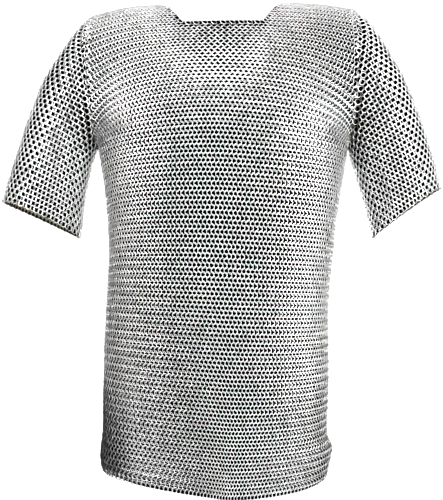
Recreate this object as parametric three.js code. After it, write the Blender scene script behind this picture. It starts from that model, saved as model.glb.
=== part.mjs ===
// A half-sleeved chainmail hauberk, filled out as it is when worn, with nothing inside it.
// Four patches of mail hang together: a front, a back and two sleeves. Each is a wall as thick as
// the layer of linked rings, and the neck, hem and both cuffs are open.
//
// Millimetres. Z is up, the front faces -Y and the wearer's left is +X. The origin lies midway
// between the shoulders, at the height of the shoulder line beside the neck, where it is carried.

import * as THREE from 'three';

// the layer of mail
const WALL = 6;
const SEAM_GAP = 0.3;
const MAIL_COLOUR = 0xb9bab6;

// the rows of rings, from the hem at the front's middle up to the row that reaches the armpits
const HEM_HEIGHT = -773;
const ARMPIT_ROW_HEIGHT = -207;
const ROW_CURVE = 1.5;
const ROW_TILT = -9;

// how far the ends of a row stand above its middle, at the wearer's right and left sides
const ROW_RISES = [
  { height: -773, right: 34, left: 30 },
  { height: -634, right: 20, left: 10 },
  { height: -474, right: 7, left: -3 },
  { height: -330, right: -6, left: -10 },
  { height: -250, right: -15, left: -15 },
  { height: -207, right: -22, left: -24 },
];

// level cuts through the body: half widths to each side, depths before and behind, and
// squareness, which is 2 for an ellipse and more for a flatter front
const BODY_SECTIONS = [
  { height: -780, right: 168, left: 162, front: 90, back: 96, squareness: 2.7 },
  { height: -752, right: 175, left: 167, front: 92, back: 97, squareness: 2.7 },
  { height: -739, right: 186, left: 169, front: 94, back: 98, squareness: 2.65 },
  { height: -722, right: 190, left: 173, front: 97, back: 100, squareness: 2.6 },
  { height: -704, right: 190, left: 176, front: 101, back: 102, squareness: 2.5 },
  { height: -682, right: 187, left: 168, front: 106, back: 105, squareness: 2.45 },
  { height: -610, right: 186, left: 171, front: 120, back: 112, squareness: 2.3 },
  { height: -538, right: 185, left: 171, front: 128, back: 113, squareness: 2.15 },
  { height: -474, right: 182, left: 172, front: 131, back: 110, squareness: 2.1 },
  { height: -394, right: 179, left: 180, front: 130, back: 108, squareness: 2.1 },
  { height: -338, right: 182, left: 186, front: 127, back: 111, squareness: 2.15 },
  { height: -298, right: 186, left: 193, front: 125, back: 114, squareness: 2.2 },
  { height: -266, right: 191, left: 198, front: 123, back: 117, squareness: 2.2 },
  { height: -230, right: 197, left: 204, front: 122, back: 118, squareness: 2.2 },
  { height: -200, right: 199, left: 206, front: 122, back: 118, squareness: 2.2 },
];

// the columns of rings: wider in the middle than at the sides, or closer where spread is below
// nothing, and lean moves them towards the wearer's left
const COLUMN_REACH = 0.25;
const COLUMN_SPREADS = [
  { height: -773, spread: -0.36, lean: 0.07 },
  { height: -634, spread: -0.2, lean: 0.05 },
  { height: -474, spread: -0.05, lean: 0 },
  { height: -207, spread: -0.1, lean: 0 },
];
const SHOULDER_SPREAD = 0.86;
const SPREAD_ENDS = 0.5;

// the shoulder line, from the neck points out to the tops of the armholes
const SHOULDER_Y = -8;
const NECK_HALF_WIDTH = 102;
const SHOULDER_HALF_WIDTH = 211;
const SHOULDER_LINES = {
  right: { neck: -1, drop: 19, bend: 2.0 },
  left: { neck: 3, drop: 9.5, bend: 2.2 },
};

// how a panel leans back and rises from the armpit row to the shoulder line, where it turns over
const ARCH = [
  { climb: 0, back: 0, up: 0 },
  { climb: 0.2, back: 0.037, up: 0.241 },
  { climb: 0.4, back: 0.15, up: 0.475 },
  { climb: 0.55, back: 0.285, up: 0.643 },
  { climb: 0.7, back: 0.459, up: 0.8 },
  { climb: 0.8, back: 0.596, up: 0.898 },
  { climb: 0.86, back: 0.694, up: 0.95 },
  { climb: 0.92, back: 0.816, up: 0.985 },
  { climb: 1, back: 1, up: 1 },
];

// the armholes
const ARMHOLE_DEPTH = 60;
const ARMHOLE_BOW = 5;
const ARMHOLE_PULL = 3;

// the neck opening, as shares of a panel's width and of the way from the armpit row to the
// shoulder line: square in front with slanted sides, and shallow behind
const NECK_SIDE = 0.403;
const NECK_SHIFT = 0.012;
const NECKLINES = {
  front: { corner: 0.225, height: 0.7 },
  back: { corner: 0.318, height: 0.8 },
};

// each sleeve from armhole to cuff: its outer and inner lines as distances out from the
// middle and heights, and half its depth. The first row gives only the turn out of the armhole.
const SLEEVES = {
  right: [
    { outerOut: 211, outerHeight: -20, innerOut: 197, innerHeight: -229, depth: 60 },
    { outerOut: 231, outerHeight: -40, innerOut: 200, innerHeight: -236, depth: 65 },
    { outerOut: 261, outerHeight: -82, innerOut: 204, innerHeight: -248, depth: 68 },
    { outerOut: 285, outerHeight: -122, innerOut: 208, innerHeight: -263, depth: 68 },
    { outerOut: 310, outerHeight: -186, innerOut: 213, innerHeight: -287, depth: 66 },
    { outerOut: 333, outerHeight: -257, innerOut: 219, innerHeight: -328, depth: 63 },
    { outerOut: 351, outerHeight: -318, innerOut: 224, innerHeight: -375, depth: 61 },
  ],
  left: [
    { outerOut: 211, outerHeight: -7, innerOut: 204, innerHeight: -231, depth: 60 },
    { outerOut: 240, outerHeight: -28, innerOut: 206, innerHeight: -238, depth: 65 },
    { outerOut: 271, outerHeight: -75, innerOut: 209, innerHeight: -252, depth: 69 },
    { outerOut: 297, outerHeight: -122, innerOut: 215, innerHeight: -270, depth: 69 },
    { outerOut: 320, outerHeight: -180, innerOut: 222, innerHeight: -296, depth: 67 },
    { outerOut: 340, outerHeight: -243, innerOut: 233, innerHeight: -333, depth: 64 },
    { outerOut: 353, outerHeight: -297, innerOut: 241, innerHeight: -375, depth: 62 },
  ],
};

// soft troughs pressed into a sleeve: around is 0 at the outer line and 0.5 at the inner one,
// a quarter in front; along is 0 at the armhole and 1 at the cuff
const SLEEVE_FOLDS = {
  right: [
    { around: 0.36, along: 0.45, width: 0.045, length: 0.3, deep: 5 },
    { around: 0.66, along: 0.5, width: 0.05, length: 0.26, deep: 4 },
  ],
  left: [
    { around: 0.37, along: 0.72, width: 0.045, length: 0.25, deep: 6 },
    { around: 0.33, along: 0.38, width: 0.04, length: 0.22, deep: 4 },
    { around: 0.65, along: 0.52, width: 0.05, length: 0.28, deep: 4 },
  ],
};

// how finely the walls are divided
const NECK_COLUMNS = 6;
const NECK_SLANT_COLUMNS = 3;
const SHOULDER_COLUMNS = 8;
const LOWER_ROWS = 15;
const UPPER_ROWS = 16;
const SLEEVE_RINGS = 14;
const SECTION_STEPS = 24;
const NUDGE = 0.004;

const lerp = (from, to, share) => from + (to - from) * share;

// reads one column of a table at a place between its rows, on a smooth curve through them
function reading(table, by, at, column) {
  let row = 0;
  while (row < table.length - 2 && at > table[row + 1][by]) row += 1;
  const slope = (k) => {
    const before = table[Math.max(k - 1, 0)];
    const after = table[Math.min(k + 1, table.length - 1)];
    return (after[column] - before[column]) / (after[by] - before[by]);
  };
  const [low, high] = [table[row], table[row + 1]];
  const span = high[by] - low[by];
  const share = THREE.MathUtils.clamp((at - low[by]) / span, 0, 1);
  const [square, cube] = [share ** 2, share ** 3];
  return (2 * cube - 3 * square + 1) * low[column] + (cube - 2 * square + share) * span * slope(row)
    + (3 * square - 2 * cube) * high[column] + (cube - square) * span * slope(row + 1);
}

// the share of the way round from the middle at which a column of rings runs
function columnShare(column, spread, lean) {
  const moved = column + lean * (1 - column ** 2);
  const size = Math.abs(moved);
  const spreadBy = spread * COLUMN_REACH;
  const share = (size + spreadBy * Math.atan(size / COLUMN_REACH))
    / (1 + spreadBy * Math.atan(1 / COLUMN_REACH));
  return Math.sign(moved) * share;
}

// a quarter of a level cut, from the middle out to the side, measured along the cloth
function quarterPoint(width, depth, squareness, share) {
  const at = (angle) => {
    const out = Math.abs(Math.sin(angle) / width) ** squareness;
    const fore = Math.abs(Math.cos(angle) / depth) ** squareness;
    const radius = (out + fore) ** (-1 / squareness);
    return [radius * Math.sin(angle), radius * Math.cos(angle)];
  };
  const step = Math.PI / 2 / SECTION_STEPS;
  const lengths = [0];
  let last = at(0);
  for (let k = 1; k <= SECTION_STEPS; k += 1) {
    const next = at(k * step);
    lengths.push(lengths[k - 1] + Math.hypot(next[0] - last[0], next[1] - last[1]));
    last = next;
  }
  const wanted = share * lengths[SECTION_STEPS];
  let k = 0;
  while (k < SECTION_STEPS - 1 && lengths[k + 1] < wanted) k += 1;
  const within = (wanted - lengths[k]) / (lengths[k + 1] - lengths[k]);
  return at((k + within) * step);
}

// a point of the body below the armpits: column runs from -1 at the wearer's right side to 1 at
// the left, row from 0 at the hem to 1 at the armpits
function lowerPoint(face, column, row) {
  const side = column < 0 ? 'right' : 'left';
  const middle = lerp(HEM_HEIGHT, ARMPIT_ROW_HEIGHT, row);
  const rise = reading(ROW_RISES, 'height', middle, side) * Math.abs(column) ** ROW_CURVE;
  const height = middle + rise + ROW_TILT * column * (1 - Math.abs(column));
  const spread = reading(COLUMN_SPREADS, 'height', middle, 'spread');
  const lean = reading(COLUMN_SPREADS, 'height', middle, 'lean');
  const share = columnShare(column, spread, lean);
  const half = share < 0 ? 'right' : 'left';
  const width = reading(BODY_SECTIONS, 'height', height, half);
  const depth = reading(BODY_SECTIONS, 'height', height, face);
  const squareness = reading(BODY_SECTIONS, 'height', height, 'squareness');
  const [out, fore] = quarterPoint(width, depth, squareness, Math.abs(share));
  return new THREE.Vector3(Math.sign(share) * out, face === 'front' ? -fore : fore, height);
}

function shoulderPoint(column) {
  const { right, left } = SHOULDER_LINES;
  const line = column < 0 ? right : left;
  const out = SHOULDER_HALF_WIDTH * Math.abs(columnShare(column, SHOULDER_SPREAD, 0));
  const beyond = Math.max(0, (out - NECK_HALF_WIDTH) / (SHOULDER_HALF_WIDTH - NECK_HALF_WIDTH));
  const neck = lerp(right.neck, left.neck, THREE.MathUtils.smoothstep(column, -NECK_SIDE, NECK_SIDE));
  return new THREE.Vector3(Math.sign(column) * out, SHOULDER_Y, neck - line.drop * beyond ** line.bend);
}

// a point of the armhole: climb runs from 0 at the armpit to 1 at the shoulder line
function armholePoint(side, face, climb) {
  const top = shoulderPoint(side);
  const bottom = lowerPoint('front', side, 1);
  const turn = Math.PI * climb;
  const point = bottom.clone().lerp(top, (1 - Math.cos(turn)) / 2);
  point.x += side * ARMHOLE_BOW * Math.sin(turn) ** 2;
  point.y += (face === 'front' ? -1 : 1) * ARMHOLE_DEPTH * Math.sin(turn);
  return point;
}

// the way out of the wall along an armhole, the same for the body and for the sleeve
function armholeOutward(side, face, climb) {
  const turn = Math.PI * climb;
  const up = -Math.cos(turn);
  const out = 0.1 * Math.sin(turn) ** 2 + 0.56 * Math.max(0, up) ** 2;
  const fore = (face === 'front' ? -1 : 1) * Math.sin(turn);
  return new THREE.Vector3(side * out, fore, up * (up > 0 ? 0.83 : 1)).normalize();
}

function archPoint(face, column, climb) {
  const start = lowerPoint(face, column, 1);
  const end = shoulderPoint(column);
  return new THREE.Vector3(
    lerp(start.x, end.x, THREE.MathUtils.smoothstep(climb, 0, SPREAD_ENDS)),
    lerp(start.y, end.y, reading(ARCH, 'climb', climb, 'back')),
    lerp(start.z, end.z, reading(ARCH, 'climb', climb, 'up')),
  );
}

// a point of the body above the armpits: an arch over the chest or back to the shoulder line,
// drawn to the armhole at the panel's sides
function upperPoint(face, column, climb) {
  const side = column < 0 ? -1 : 1;
  const pull = armholePoint(side, face, climb).sub(archPoint(face, side, climb));
  return archPoint(face, column, climb).addScaledVector(pull, Math.abs(column) ** ARMHOLE_PULL);
}

// row is 0 at the hem, 1 at the armpits and 2 at the shoulder line
function bodyPoint(face, column, row) {
  return row <= 1 ? lowerPoint(face, column, row) : upperPoint(face, column, row - 1);
}

// how far up a column reaches, which is less in the neck opening
function topRow(face, column) {
  const { corner, height } = NECKLINES[face];
  const beyond = (Math.abs(column - NECK_SHIFT) - corner) / (NECK_SIDE - corner);
  const share = THREE.MathUtils.clamp(beyond, 0, 1);
  return 1 + lerp(height, 1, share);
}

function normalOf(pointAt, across, along, limits) {
  const low = (value, limit) => Math.max(value - NUDGE, limit[0]);
  const high = (value, limit) => Math.min(value + NUDGE, limit[1]);
  const acrossWay = pointAt(high(across, limits.across), along)
    .sub(pointAt(low(across, limits.across), along));
  const alongWay = pointAt(across, high(along, limits.along))
    .sub(pointAt(across, low(along, limits.along)));
  return acrossWay.cross(alongWay).normalize();
}

// a closed wall from rows of outer points and the ways out of it; wrapped joins each row's ends
function wallMesh(name, outer, outward, wrapped) {
  const [rows, columns] = [outer.length, outer[0].length];
  const positions = [];
  for (const depth of [0, WALL]) {
    outer.forEach((row, j) => row.forEach((point, i) => {
      positions.push(...point.clone().addScaledVector(outward[j][i], -depth).toArray());
    }));
  }
  const inside = rows * columns;
  const at = (j, i) => j * columns + (i % columns);
  const faces = [];
  const quad = (a, b, c, d) => faces.push(a, b, c, a, c, d);
  const height = (corner) => positions[3 * corner + 2];
  // the strip across the wall's edge, split the same way on both sides of a seam
  const wallEnd = (a, b) => {
    if (height(a) < height(b)) quad(a, b, inside + b, inside + a);
    else quad(b, inside + b, inside + a, a);
  };
  const spans = wrapped ? columns : columns - 1;
  for (let i = 0; i < spans; i += 1) {
    for (let j = 0; j < rows - 1; j += 1) {
      const [a, b, c, d] = [at(j, i), at(j, i + 1), at(j + 1, i + 1), at(j + 1, i)];
      quad(a, b, c, d);
      quad(inside + a, inside + d, inside + c, inside + b);
    }
    wallEnd(at(0, i + 1), at(0, i));
    wallEnd(at(rows - 1, i), at(rows - 1, i + 1));
  }
  for (let j = 0; j < rows - 1 && !wrapped; j += 1) {
    wallEnd(at(j, 0), at(j + 1, 0));
    wallEnd(at(j + 1, columns - 1), at(j, columns - 1));
  }
  const geometry = new THREE.BufferGeometry();
  geometry.setAttribute('position', new THREE.Float32BufferAttribute(positions, 3));
  geometry.setIndex(faces);
  geometry.computeVertexNormals();
  const material = new THREE.MeshStandardMaterial({ color: MAIL_COLOUR, roughness: 0.35, metalness: 0.9 });
  const mesh = new THREE.Mesh(geometry, material);
  mesh.name = name;
  return mesh;
}

// the columns that a panel's wall is divided at, closer over the neck opening
function panelColumns() {
  const { corner } = NECKLINES.front;
  const edges = [-NECK_SIDE, -corner, corner, NECK_SIDE].map((edge) => edge + NECK_SHIFT);
  const stretches = [
    { from: -1, to: edges[0], count: SHOULDER_COLUMNS },
    { from: edges[0], to: edges[1], count: NECK_SLANT_COLUMNS },
    { from: edges[1], to: edges[2], count: NECK_COLUMNS },
    { from: edges[2], to: edges[3], count: NECK_SLANT_COLUMNS },
    { from: edges[3], to: 1, count: SHOULDER_COLUMNS },
  ];
  const columns = [-1];
  for (const { from, to, count } of stretches) {
    for (let k = 1; k <= count; k += 1) columns.push(lerp(from, to, k / count));
  }
  return columns;
}

function panel(face) {
  const forward = face === 'front' ? -1 : 1;
  const columns = panelColumns();
  if (face === 'back') columns.reverse();
  const pointAt = (column, row) => bodyPoint(face, column, row);
  const limits = { across: [-1, 1], along: [0, 2] };
  const outer = [];
  const outward = [];
  for (let k = 0; k <= LOWER_ROWS + UPPER_ROWS; k += 1) {
    const climb = Math.max(0, k - LOWER_ROWS) / UPPER_ROWS;
    const points = [];
    const ways = [];
    for (const column of columns) {
      const row = k <= LOWER_ROWS ? k / LOWER_ROWS : 1 + climb * (topRow(face, column) - 1);
      const atSide = Math.abs(column) === 1;
      const point = pointAt(column, row);
      const way = atSide && row >= 1
        ? armholeOutward(Math.sign(column), face, climb)
        : normalOf(pointAt, column, row, limits).multiplyScalar(-forward);
      // the seams between the panels lie in one upright plane, half a gap off on each side
      if ((atSide && row <= 1) || row === 2) {
        point.y += forward * SEAM_GAP / 2;
        way.setY(0).normalize();
      }
      points.push(point);
      ways.push(way);
    }
    outer.push(points);
    outward.push(ways);
  }
  return wallMesh(face, outer, outward, false);
}

// a point of a sleeve: around runs from 0 at the outer line, by the front, to 1; along from the
// armhole to the cuff
function sleevePoint(name, around, along) {
  const table = SLEEVES[name].map((row, k, rows) => ({ ...row, along: k / (rows.length - 1) }));
  const side = name === 'right' ? -1 : 1;
  const value = (column) => reading(table, 'along', along, column);
  const turn = around * 2 * Math.PI;
  const share = (1 + Math.cos(turn)) / 2;
  const bow = ARMHOLE_BOW * Math.sin(turn) ** 2 * (1 - along);
  const lift = lerp(SHOULDER_Y * share, 0, along);
  const point = new THREE.Vector3(
    side * (lerp(value('innerOut'), value('outerOut'), share) + bow),
    lift - value('depth') * Math.sin(turn),
    lerp(value('innerHeight'), value('outerHeight'), share),
  );
  const centre = new THREE.Vector3(
    side * (value('innerOut') + value('outerOut')) / 2,
    0,
    (value('innerHeight') + value('outerHeight')) / 2,
  );
  for (const fold of SLEEVE_FOLDS[name]) {
    const across = (around - fold.around) / fold.width;
    const down = (along - fold.along) / fold.length;
    const depth = fold.deep * Math.exp(-(across ** 2) - down ** 2);
    point.add(centre.clone().sub(point).setLength(depth));
  }
  return point;
}

function sleeve(name) {
  const side = name === 'right' ? -1 : 1;
  const limits = { across: [-1, 2], along: [0, 1] };
  const count = 2 * UPPER_ROWS;
  const pointAt = (around, along) => sleevePoint(name, around, along);
  const outer = [];
  const outward = [];
  for (let k = 0; k <= SLEEVE_RINGS; k += 1) {
    const points = [];
    const ways = [];
    for (let i = 0; i < count; i += 1) {
      // the walls run round so that they face out on both sides of the body
      const around = side < 0 ? (count - i) / count : i / count;
      const face = around <= 0.5 ? 'front' : 'back';
      const climb = face === 'front' ? 1 - 2 * around : 2 * around - 1;
      if (k === 0) {
        const edge = armholePoint(side, face, climb);
        const before = sleevePoint(name, around - NUDGE, 0);
        const seamWay = sleevePoint(name, around + NUDGE, 0).sub(before);
        const way = armholeOutward(side, face, climb);
        const clear = seamWay.cross(way).normalize();
        clear.multiplyScalar(Math.sign(clear.x) * side * SEAM_GAP);
        points.push(edge.add(clear));
        ways.push(way);
      } else {
        const along = k / SLEEVE_RINGS;
        points.push(pointAt(around, along));
        ways.push(normalOf(pointAt, around, along, limits).multiplyScalar(side));
      }
    }
    outer.push(points);
    outward.push(ways);
  }
  return wallMesh(`sleeve_${name}`, outer, outward, true);
}

const hauberk = new THREE.Group();
hauberk.add(panel('front'), panel('back'), sleeve('right'), sleeve('left'));

export default hauberk;
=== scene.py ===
import math

import bpy
import numpy as np
from bpy.props import EnumProperty, FloatProperty, FloatVectorProperty, IntProperty, PointerProperty
from mathutils import Matrix, Quaternion, Vector


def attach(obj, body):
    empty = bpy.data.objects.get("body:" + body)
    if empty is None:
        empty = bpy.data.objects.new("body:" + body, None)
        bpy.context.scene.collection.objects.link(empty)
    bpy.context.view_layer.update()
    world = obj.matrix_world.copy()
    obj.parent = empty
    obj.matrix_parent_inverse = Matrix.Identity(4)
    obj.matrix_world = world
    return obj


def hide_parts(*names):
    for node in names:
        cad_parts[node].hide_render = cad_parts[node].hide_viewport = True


bl_info = {
    "name": "Mail Hauberk",
    "version": (1, 0, 0),
    "blender": (4, 5, 0),
    "location": "View3D > Sidebar > Mail",
    "description": "Knits a half-sleeved mail shirt of linked rings round its four patches",
    "category": "Add Mesh",
}

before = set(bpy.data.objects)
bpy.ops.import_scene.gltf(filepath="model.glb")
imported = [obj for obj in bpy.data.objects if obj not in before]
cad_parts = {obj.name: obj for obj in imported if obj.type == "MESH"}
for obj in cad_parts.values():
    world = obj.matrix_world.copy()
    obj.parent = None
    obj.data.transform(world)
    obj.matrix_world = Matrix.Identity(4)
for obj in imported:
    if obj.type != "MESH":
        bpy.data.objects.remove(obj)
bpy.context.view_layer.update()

# The tables and the cut are in millimetres, as the garment's source has them.
MM = 0.001

# Hem row and armpit row at the front's middle, and how far a row's ends stand above its middle.
HEM_HEIGHT = -773
ARMPIT_ROW_HEIGHT = -207
ROW_CURVE = 1.5
ROW_TILT = -9
ROW_RISES = {
    "height": (-773, -634, -474, -330, -250, -207),
    "right": (34, 20, 7, -6, -15, -22),
    "left": (30, 10, -3, -10, -15, -24),
}

# Level cuts through the body: half widths, depths before and behind, and squareness.
BODY_SECTIONS = {
    "height": (-780, -752, -739, -722, -704, -682, -610, -538, -474, -394, -338, -298, -266, -230, -200),
    "right": (168, 175, 186, 190, 190, 187, 186, 185, 182, 179, 182, 186, 191, 197, 199),
    "left": (162, 167, 169, 173, 176, 168, 171, 171, 172, 180, 186, 193, 198, 204, 206),
    "front": (90, 92, 94, 97, 101, 106, 120, 128, 131, 130, 127, 125, 123, 122, 122),
    "back": (96, 97, 98, 100, 102, 105, 112, 113, 110, 108, 111, 114, 117, 118, 118),
    "squareness": (2.7, 2.7, 2.65, 2.6, 2.5, 2.45, 2.3, 2.15, 2.1, 2.1, 2.15, 2.2, 2.2, 2.2, 2.2),
}

# How the columns of rings spread over the middle, and how far they lean to the wearer's left.
COLUMN_REACH = 0.25
COLUMN_SPREADS = {
    "height": (-773, -634, -474, -207),
    "spread": (-0.36, -0.2, -0.05, -0.1),
    "lean": (0.07, 0.05, 0, 0),
}
SHOULDER_SPREAD = 0.86
SPREAD_ENDS = 0.5

# The shoulder line and the armholes.
SHOULDER_Y = -8
NECK_HALF_WIDTH = 102
SHOULDER_HALF_WIDTH = 211
SHOULDER_LINES = {
    "right": {"neck": -1, "drop": 19, "bend": 2.0},
    "left": {"neck": 3, "drop": 9.5, "bend": 2.2},
}
ARMHOLE_DEPTH = 60
ARMHOLE_BOW = 5
ARMHOLE_PULL = 3

# How a panel leans back and rises from the armpit row to the shoulder line.
ARCH = {
    "climb": (0, 0.2, 0.4, 0.55, 0.7, 0.8, 0.86, 0.92, 1),
    "back": (0, 0.037, 0.15, 0.285, 0.459, 0.596, 0.694, 0.816, 1),
    "up": (0, 0.241, 0.475, 0.643, 0.8, 0.898, 0.95, 0.985, 1),
}

# The neck opening, as shares of a panel's width and of the way from armpit row to shoulder line.
NECK_SIDE = 0.403
NECK_SHIFT = 0.012
NECKLINES = {
    "front": {"corner": 0.225, "height": 0.7},
    "back": {"corner": 0.318, "height": 0.8},
}

# Each sleeve from armhole to cuff: outer and inner lines, and half its depth.
SLEEVES = {
    "right": {
        "along": (0, 1 / 6, 2 / 6, 3 / 6, 4 / 6, 5 / 6, 1),
        "outer_out": (211, 231, 261, 285, 310, 333, 351),
        "outer_height": (-20, -40, -82, -122, -186, -257, -318),
        "inner_out": (197, 200, 204, 208, 213, 219, 224),
        "inner_height": (-229, -236, -248, -263, -287, -328, -375),
        "depth": (60, 65, 68, 68, 66, 63, 61),
    },
    "left": {
        "along": (0, 1 / 6, 2 / 6, 3 / 6, 4 / 6, 5 / 6, 1),
        "outer_out": (211, 240, 271, 297, 320, 340, 353),
        "outer_height": (-7, -28, -75, -122, -180, -243, -297),
        "inner_out": (204, 206, 209, 215, 222, 233, 241),
        "inner_height": (-231, -238, -252, -270, -296, -333, -375),
        "depth": (60, 65, 69, 69, 67, 64, 62),
    },
}
SLEEVE_FOLDS = {
    "right": (
        {"around": 0.36, "along": 0.45, "width": 0.045, "length": 0.3, "deep": 5},
        {"around": 0.66, "along": 0.5, "width": 0.05, "length": 0.26, "deep": 4},
    ),
    "left": (
        {"around": 0.37, "along": 0.72, "width": 0.045, "length": 0.25, "deep": 6},
        {"around": 0.33, "along": 0.38, "width": 0.04, "length": 0.22, "deep": 4},
        {"around": 0.65, "along": 0.52, "width": 0.05, "length": 0.28, "deep": 4},
    ),
}

SECTION_STEPS = 24
SLEEVE_STEPS = 48
NUDGE = 0.004

# How far each row of rings stands above the one below it, up to the armpits.
ROW_PITCHES = {
    "height": (-773, -719, -640, -563, -486, -410, -333, -255, -207),
    "pitch": (5.95, 6.15, 6.6, 6.8, 6.9, 7.2, 7.3, 7.05, 6.95),
}

# A panel's rings: columns, rows above the armpits, and the row that parts its skirt from its waist.
PANEL_COLUMNS = 74
UPPER_ROWS = 44
UPPER_EASE = 0.18
WAIST_ROW = 41
ROW_ROOM = 1.1

# A sleeve's rings: columns round it, their spacing along it, and what is left to the armhole.
SLEEVE_COLUMNS = 60
SLEEVE_PITCH = 7.4
SLEEVE_SIZE = 0.88
CLOSING_GAP = 5.0

# Above the armpits the columns draw apart, and the outermost end at the armholes.
COLUMN_FLARE = 0.175
FLARE_ENDS = 0.5
SEAM_COLUMNS = 0.01

# The front's rows stop a little below the neckline, where edge rings stand upright.
EDGE_MARGIN = {"front": -0.027, "back": 0.004, "shoulder": 0.004}
EDGE_RINGS = {"count": 17, "rise": -0.006, "lean": math.radians(20), "size": 0.9}

# In front a cuff ends a little higher, so that its inside shows below the rim.
CUFF_RISE = 8.0
CUFF_SHORT = 0.033

# A ring's own middle brightness, and how far painted shade lowers it.
SHADE = {"middle": 0.55, "per_painted_shade": 0.5}

# Painted shade darkens the rings at a panel's sides, more low down and on the wearer's right, on the half
# turned away from the key light, and by the neck.
SIDE_PAINTED_SHADE = {"from": 0.4, "to": 1.0, "most": 1.15, "low": 0.55, "low_more": 0.8, "right_more": 1.15}
TURNED_PAINTED_SHADE = {"from": 0.05, "to": 0.35, "most": 0.55}
NECK_PAINTED_SHADE = {"from": 0.2, "to": 0.5, "low": 1.3, "high": 1.6, "most": 0.6}
PAINTED_SHADE_TOP = {"from": 1.6, "to": 1.0}

# The crease between body and sleeve gets the darkest painted shade. It ends some way above and below the
# armpit.
CREASE_PAINTED_SHADE = {"from": 0.965, "to": 0.995, "below": (0.9, 1.02), "above": (1.45, 1.25), "most": 3.2}

# Painted shade darkens a sleeve along its inner line near the armpit.
SLEEVE_PAINTED_SHADE = {"from": 0.2, "to": 0.42, "most": 1.3, "ends": 0.75}

RING_ROTATION = "ring_rotation"
RING_SHADE = "ring_shade"
RING_SIZE = "ring_size"
RING_CENTRE = "ring_centre"
RING_OUT = "ring_out"
RING_RISE = "ring_rise"
WEAVE_UV = "weave"


# Surfaces of the garment


def reading(table, by, at, column):
    """One column of a table at a place between its rows, on a smooth curve through them."""
    keys, values = table[by], table[column]
    row = 0
    while row < len(keys) - 2 and at > keys[row + 1]:
        row += 1

    def slope(k):
        before, after = max(k - 1, 0), min(k + 1, len(keys) - 1)
        return (values[after] - values[before]) / (keys[after] - keys[before])

    span = keys[row + 1] - keys[row]
    share = min(max((at - keys[row]) / span, 0), 1)
    square, cube = share**2, share**3
    return (
        (2 * cube - 3 * square + 1) * values[row]
        + (cube - 2 * square + share) * span * slope(row)
        + (3 * square - 2 * cube) * values[row + 1]
        + (cube - square) * span * slope(row + 1)
    )


def lerp(low, high, share):
    return low + (high - low) * share


def smoothstep(share):
    share = min(max(share, 0), 1)
    return share * share * (3 - 2 * share)


def eased(value, start, end):
    """From 0 at the start to 1 at the end, level at both."""
    return smoothstep((value - start) / (end - start))


def column_share(column, spread, lean):
    """The share of the way round from the middle at which a column of rings runs."""
    moved = column + lean * (1 - column**2)
    size = abs(moved)
    spread_by = spread * COLUMN_REACH
    share = (size + spread_by * math.atan(size / COLUMN_REACH)) / (
        1 + spread_by * math.atan(1 / COLUMN_REACH)
    )
    return math.copysign(share, moved)


def quarter_point(width, depth, squareness, share):
    """A point of a quarter of a level cut, from the middle out to the side, along the cloth."""

    def at(angle):
        out = abs(math.sin(angle) / width) ** squareness
        fore = abs(math.cos(angle) / depth) ** squareness
        radius = (out + fore) ** (-1 / squareness)
        return radius * math.sin(angle), radius * math.cos(angle)

    step = math.pi / 2 / SECTION_STEPS
    lengths = [0.0]
    last = at(0)
    for k in range(1, SECTION_STEPS + 1):
        here = at(k * step)
        lengths.append(lengths[-1] + math.hypot(here[0] - last[0], here[1] - last[1]))
        last = here
    wanted = share * lengths[-1]
    k = 0
    while k < SECTION_STEPS - 1 and lengths[k + 1] < wanted:
        k += 1
    within = (wanted - lengths[k]) / (lengths[k + 1] - lengths[k])
    return at((k + within) * step)


def lower_point(face, column, row):
    """A point of the body below the armpits: row 0 is the hem and 1 the armpits."""
    side = "right" if column < 0 else "left"
    middle = lerp(HEM_HEIGHT, ARMPIT_ROW_HEIGHT, row)
    height = middle + reading(ROW_RISES, "height", middle, side) * abs(column) ** ROW_CURVE
    height += ROW_TILT * column * (1 - abs(column))
    spread = reading(COLUMN_SPREADS, "height", middle, "spread")
    lean = reading(COLUMN_SPREADS, "height", middle, "lean")
    share = column_share(column, spread, lean)
    width = reading(BODY_SECTIONS, "height", height, "right" if share < 0 else "left")
    depth = reading(BODY_SECTIONS, "height", height, face)
    squareness = reading(BODY_SECTIONS, "height", height, "squareness")
    out, fore = quarter_point(width, depth, squareness, abs(share))
    return Vector((math.copysign(out, share), -fore if face == "front" else fore, height))


def shoulder_point(column):
    right, left = SHOULDER_LINES["right"], SHOULDER_LINES["left"]
    line = right if column < 0 else left
    out = SHOULDER_HALF_WIDTH * abs(column_share(column, SHOULDER_SPREAD, 0))
    beyond = max(0, (out - NECK_HALF_WIDTH) / (SHOULDER_HALF_WIDTH - NECK_HALF_WIDTH))
    neck = lerp(right["neck"], left["neck"], smoothstep((column + NECK_SIDE) / (2 * NECK_SIDE)))
    height = neck - line["drop"] * beyond ** line["bend"]
    return Vector((math.copysign(out, column), SHOULDER_Y, height))


def armhole_point(side, face, climb):
    """A point of the armhole: climb is 0 at the armpit and 1 at the shoulder line."""
    turn = math.pi * climb
    point = lower_point("front", side, 1).lerp(shoulder_point(side), (1 - math.cos(turn)) / 2)
    point.x += side * ARMHOLE_BOW * math.sin(turn) ** 2
    point.y += (-1 if face == "front" else 1) * ARMHOLE_DEPTH * math.sin(turn)
    return point


def arch_point(face, column, climb):
    start, end = lower_point(face, column, 1), shoulder_point(column)
    return Vector(
        (
            lerp(start.x, end.x, smoothstep(climb / SPREAD_ENDS)),
            lerp(start.y, end.y, reading(ARCH, "climb", climb, "back")),
            lerp(start.z, end.z, reading(ARCH, "climb", climb, "up")),
        )
    )


def upper_point(face, column, climb):
    """A point above the armpits: an arch to the shoulder line, drawn to the armhole at the side."""
    side = -1 if column < 0 else 1
    pull = armhole_point(side, face, climb) - arch_point(face, side, climb)
    return arch_point(face, column, climb) + pull * abs(column) ** ARMHOLE_PULL


def body_point(face, column, row):
    """Row is 0 at the hem, 1 at the armpits and 2 at the shoulder line."""
    if row <= 1:
        return lower_point(face, column, row)
    return upper_point(face, column, row - 1)


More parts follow.
